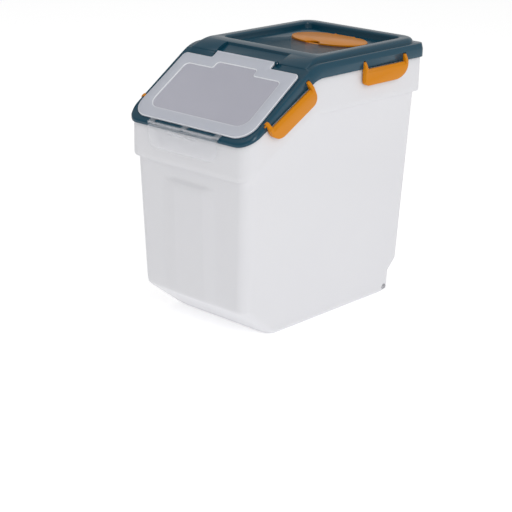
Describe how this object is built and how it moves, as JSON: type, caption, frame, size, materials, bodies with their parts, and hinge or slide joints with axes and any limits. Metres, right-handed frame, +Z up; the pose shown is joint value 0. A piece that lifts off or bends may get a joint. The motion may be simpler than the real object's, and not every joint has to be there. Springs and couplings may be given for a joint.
{
  "type": "rice bin with flip lid",
  "caption": "Wheeled kitchen bin for rice with a lift-off lid, a sloping flip lid with a window, snap latches and a desiccant box.",
  "frame": {"origin": "middle of the footprint, on the floor", "axes": "+Z up, -Y towards the pouring slope, +X to the right seen from the front; the part is mirrored about X = 0"},
  "size_m": [0.2444, 0.3746, 0.382],
  "materials": {
    "white_plastic": "satin moulded polypropylene",
    "teal_plastic": "semi-gloss moulded plastic",
    "orange_plastic": "semi-gloss moulded plastic",
    "frosted_plastic": "frosted, with a clear window",
    "silicone": "soft matt",
    "steel": "drawn steel",
    "wheel_plastic": "matt"
  },
  "bodies": {
    "bin": {"bin_body": "white_plastic", "wheel_axle": "steel", "axle_caps": "steel"},
    "lid": {"main_lid": "teal_plastic", "main_lid_seal": "silicone", "desiccant_cup": "orange_plastic"},
    "flip": {"flip_lid": "frosted_plastic", "flip_lid_seal": "silicone"},
    "front_latch": {"front_latch": "frosted_plastic"},
    "latch_right_slope": {"latch_right_slope": "orange_plastic"},
    "latch_right_flat": {"latch_right_flat": "orange_plastic"},
    "latch_left_slope": {"latch_left_slope": "orange_plastic"},
    "latch_left_flat": {"latch_left_flat": "orange_plastic"},
    "cover": {"desiccant_cover": "orange_plastic"},
    "wheel_left": {"wheel_left": "wheel_plastic"},
    "wheel_right": {"wheel_right": "wheel_plastic"}
  },
  "joints": [
    {"name": "lid_lift", "type": "slide", "parent": "bin", "child": "lid", "axis": [0, 0, 1], "range_m": [0, 0.12]},
    {"name": "flip_hinge", "type": "hinge", "parent": "lid", "child": "flip", "pos_m": [0, -0.06405, 0.37036], "axis": [-1, 0, 0], "range_deg": [0, 140]},
    {"name": "front_latch_hinge", "type": "hinge", "parent": "flip", "child": "front_latch", "pos_m": [0, -0.18525, 0.2895], "axis": [-1, 0, 0], "range_deg": [0, 100]},
    {"name": "right_slope_latch_hinge", "type": "hinge", "parent": "lid", "child": "latch_right_slope", "pos_m": [0.1154, -0.10671, 0.33134], "axis": [0, -0.8788, -0.4772], "range_deg": [0, 90]},
    {"name": "right_flat_latch_hinge", "type": "hinge", "parent": "lid", "child": "latch_right_flat", "pos_m": [0.1154, 0.09275, 0.3622], "axis": [0, -1, 0], "range_deg": [0, 90]},
    {"name": "left_slope_latch_hinge", "type": "hinge", "parent": "lid", "child": "latch_left_slope", "pos_m": [-0.1154, -0.10671, 0.33134], "axis": [0, 0.8788, 0.4772], "range_deg": [0, 90]},
    {"name": "left_flat_latch_hinge", "type": "hinge", "parent": "lid", "child": "latch_left_flat", "pos_m": [-0.1154, 0.09275, 0.3622], "axis": [0, 1, 0], "range_deg": [0, 90]},
    {"name": "desiccant_cover_hinge", "type": "hinge", "parent": "lid", "child": "cover", "pos_m": [0, 0.14525, 0.37321], "axis": [-1, 0, 0], "range_deg": [0, 100]},
    {"name": "wheel_left_spin", "type": "hinge", "parent": "bin", "child": "wheel_left", "pos_m": [-0.073, 0.14025, 0.0102], "axis": [1, 0, 0], "continuous": true},
    {"name": "wheel_right_spin", "type": "hinge", "parent": "bin", "child": "wheel_right", "pos_m": [0.073, 0.14025, 0.0102], "axis": [1, 0, 0], "continuous": true}
  ]
}
